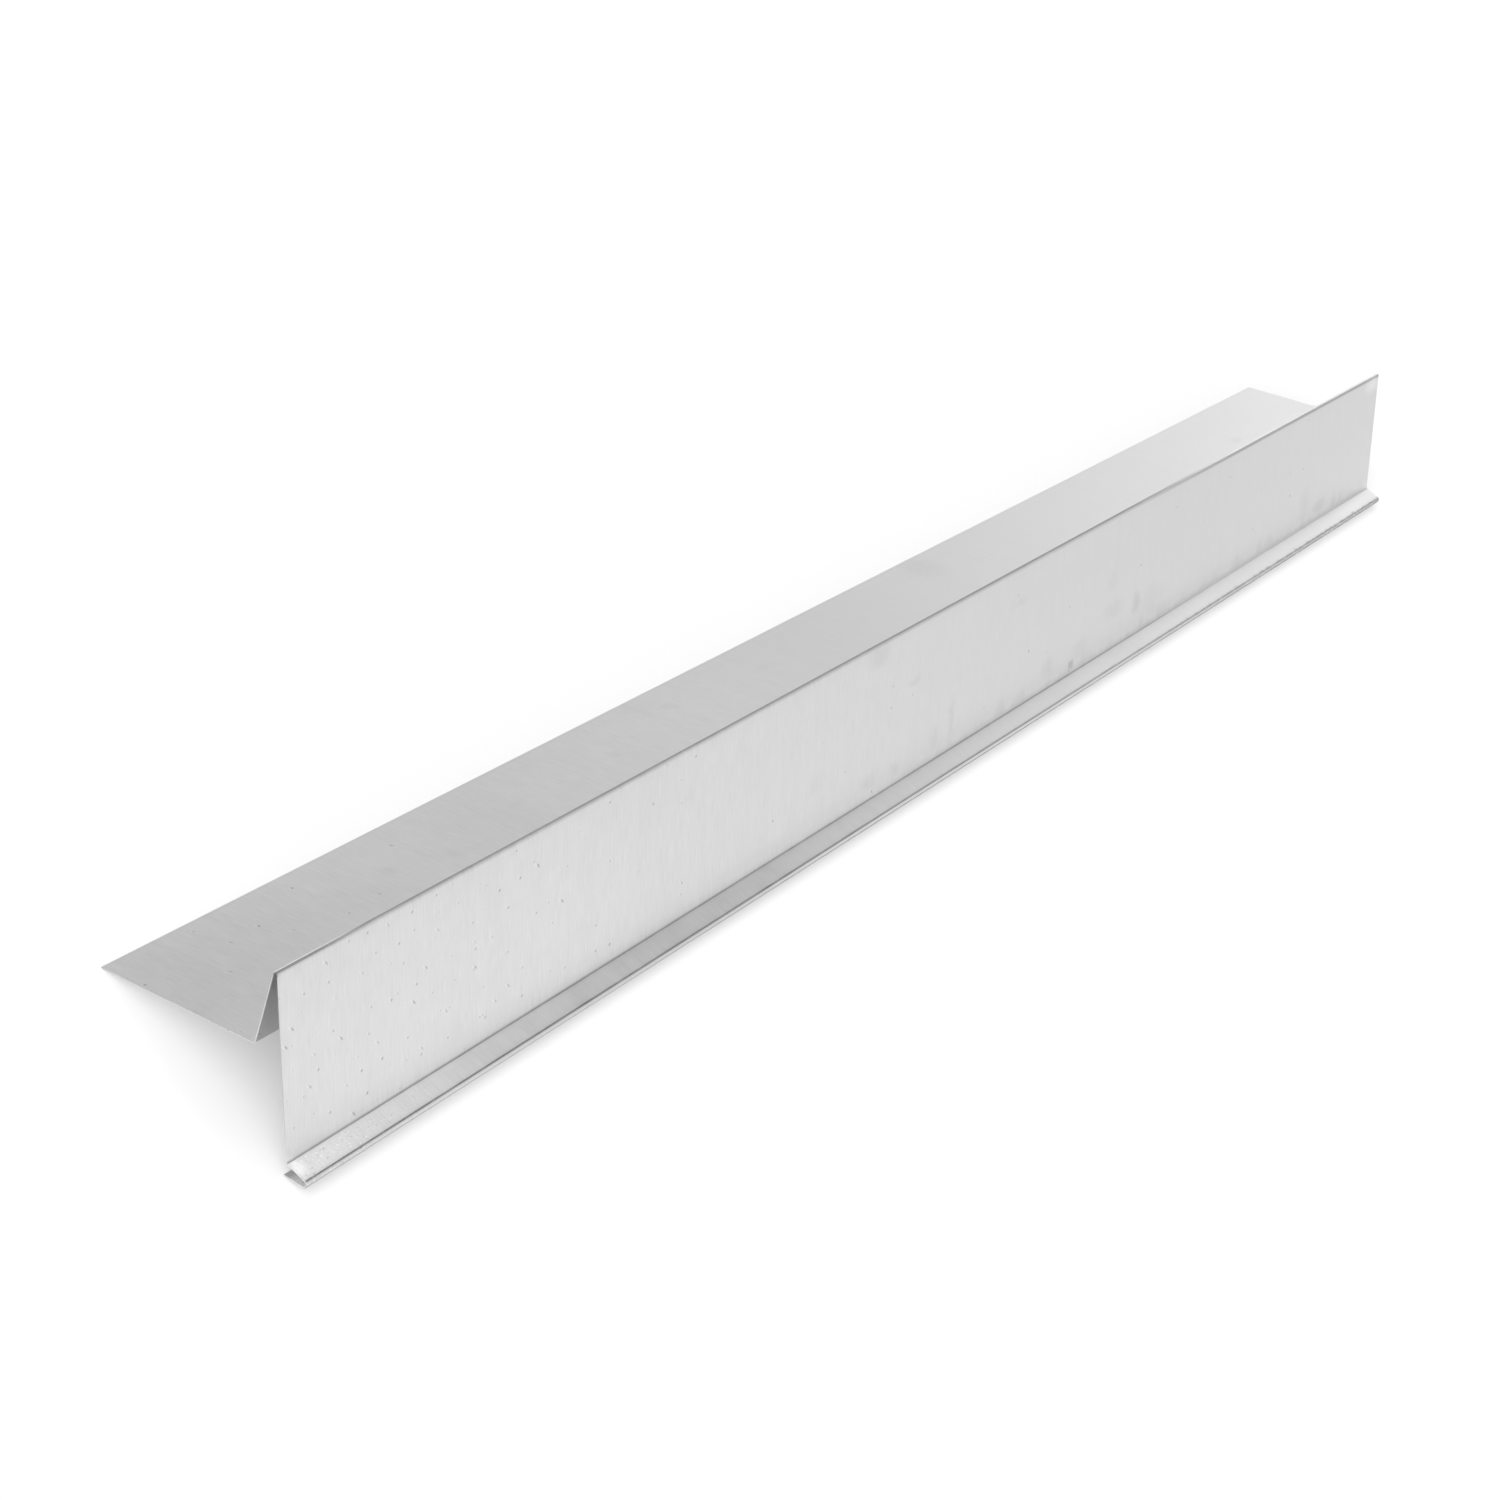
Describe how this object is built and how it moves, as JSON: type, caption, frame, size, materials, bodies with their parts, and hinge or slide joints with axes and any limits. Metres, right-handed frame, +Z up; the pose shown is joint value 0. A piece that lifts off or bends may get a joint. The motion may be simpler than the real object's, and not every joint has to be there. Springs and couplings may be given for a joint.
{
  "type": "verge flashing",
  "caption": "Long folded sheet-metal verge flashing: flat roof flange, upstand folded back into a tall face, outward kick and open drip hem.",
  "frame": {"origin": "on the floor that the flashing lies on, half-way along it and half-way between its foremost and hindmost edges", "axes": "+X along the length, +Y towards the roof flange, so the face is on the -Y side, +Z up from the floor"},
  "size_m": [1, 0.1092, 0.0658],
  "materials": {
    "galvanised_steel": "satin"
  },
  "bodies": {
    "root": {"verge_flashing": "galvanised_steel"}
  },
  "joints": []
}
